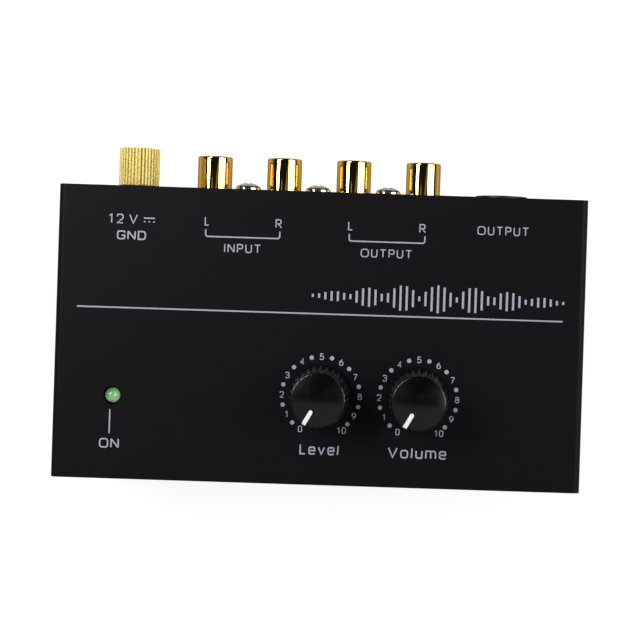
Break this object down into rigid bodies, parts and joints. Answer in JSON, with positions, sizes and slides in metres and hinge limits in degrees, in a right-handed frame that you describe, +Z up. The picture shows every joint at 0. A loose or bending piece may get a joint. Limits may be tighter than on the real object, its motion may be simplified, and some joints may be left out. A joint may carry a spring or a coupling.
{
  "type": "phono preamp",
  "caption": "Desktop phono preamp in a folded steel case: fluted knobs and a pilot lamp on top; phono sockets, ground post, power socket and quarter-inch jack at the rear.",
  "frame": {"origin": "middle of the whole footprint, at the level of the table under the feet", "axes": "+X to the right seen from the front, +Y to the rear, where the sockets are, +Z up"},
  "size_m": [0.1268, 0.0768, 0.052],
  "materials": {
    "black_paint": "fine textured black powder coat",
    "black_steel": "black oxide steel",
    "rubber": "matt black rubber",
    "nickel_plate": "nickel-plated steel",
    "circuit_board": "green solder mask on glass epoxy",
    "black_plastic": "moulded black plastic",
    "gold_plate": "mirror gold plate",
    "sandblasted_gold": "sandblasted gold plate",
    "white_plastic": "moulded white plastic",
    "red_plastic": "moulded red plastic",
    "contact_metal": "tinned spring bronze",
    "brass": "turned brass",
    "wire_green": "green wire insulation",
    "aluminium": "turned aluminium",
    "knob_plastic": "satin black moulded plastic",
    "lamp_green": "clear green epoxy",
    "chip_black": "black epoxy",
    "can_sleeve": "shrink sleeve on an aluminium can",
    "film_red": "red epoxy dip",
    "resistor_blue": "blue lacquer",
    "wafer_brown": "phenolic wafer"
  },
  "bodies": {
    "case": {"top_cover": "black_paint", "chassis": "black_paint", "cover_screws": "black_steel", "rubber_feet": "rubber", "board_standoffs": "nickel_plate", "circuit_board": "circuit_board", "board_screws": "nickel_plate", "rca_housing": "black_plastic", "rca_screws": "nickel_plate", "rca_barrel_in_left": "gold_plate", "rca_barrel_in_right": "gold_plate", "rca_barrel_out_left": "gold_plate", "rca_barrel_out_right": "gold_plate", "rca_insulator_in_left": "white_plastic", "rca_insulator_in_right": "red_plastic", "rca_insulator_out_left": "white_plastic", "rca_insulator_out_right": "red_plastic", "rca_contact_in_left": "contact_metal", "rca_contact_in_right": "contact_metal", "rca_contact_out_left": "contact_metal", "rca_contact_out_right": "contact_metal", "ground_stud": "brass", "ground_stud_nut": "nickel_plate", "ground_lug": "contact_metal", "ground_wire": "wire_green", "dc_socket_body": "black_plastic", "dc_socket_pin": "contact_metal", "dc_socket_leaf": "contact_metal", "jack_body": "black_plastic", "jack_lid": "black_plastic", "jack_sleeve": "contact_metal", "lamp_lens": "lamp_green", "lamp_leads": "contact_metal", "lamp_spacer": "black_plastic", "op_amps": "chip_black", "electrolytic_capacitors": "can_sleeve", "film_capacitors": "film_red", "resistors": "resistor_blue", "voltage_regulator": "chip_black", "rectifier_diode": "chip_black", "level_pot_case": "black_plastic", "level_pot_cover": "nickel_plate", "level_pot_wafer": "wafer_brown", "level_pot_pins": "contact_metal", "volume_pot_case": "black_plastic", "volume_pot_cover": "nickel_plate", "volume_pot_wafer": "wafer_brown", "volume_pot_pins": "contact_metal"},
    "level_control": {"level_pot_rotor": "white_plastic", "level_shaft": "aluminium", "level_knob": "knob_plastic", "level_pointer": "white_plastic"},
    "volume_control": {"volume_pot_rotor": "white_plastic", "volume_shaft": "aluminium", "volume_knob": "knob_plastic", "volume_pointer": "white_plastic"},
    "ground_washer": {"ground_washer": "brass"},
    "ground_nut": {"ground_thumb_nut": "sandblasted_gold"},
    "jack_tip_contact": {"jack_tip_leaf": "contact_metal"},
    "jack_ring_contact": {"jack_ring_leaf": "contact_metal"}
  },
  "joints": [
    {"name": "level_turn", "type": "hinge", "parent": "case", "child": "level_control", "pos_m": [0.00075, -0.0178, 0.038], "axis": [0, 0, -1], "range_deg": [0, 300]},
    {"name": "volume_turn", "type": "hinge", "parent": "case", "child": "volume_control", "pos_m": [0.02315, -0.0178, 0.038], "axis": [0, 0, -1], "range_deg": [0, 300]},
    {"name": "ground_washer_slide", "type": "slide", "parent": "case", "child": "ground_washer", "axis": [0, 1, 0], "range_m": [0, 0.0021]},
    {"name": "ground_nut_turn", "type": "hinge", "parent": "ground_washer", "child": "ground_nut", "pos_m": [-0.0445, 0.0291, 0.027], "axis": [0, 1, 0], "range_deg": [0, 1080]},
    {"name": "jack_tip_flex", "type": "hinge", "parent": "case", "child": "jack_tip_contact", "pos_m": [0.0466, 0.0151, 0.02], "axis": [0, 0, 1], "range_deg": [0, 6], "stiffness_Nm_per_rad": 0.2},
    {"name": "jack_ring_flex", "type": "hinge", "parent": "case", "child": "jack_ring_contact", "pos_m": [0.0374, 0.0191, 0.02], "axis": [0, 0, -1], "range_deg": [0, 6], "stiffness_Nm_per_rad": 0.2}
  ],
  "couplings": [
    {"joint": "ground_washer_slide", "follows": "ground_nut_turn", "m_per_rad": 0.0001114}
  ]
}
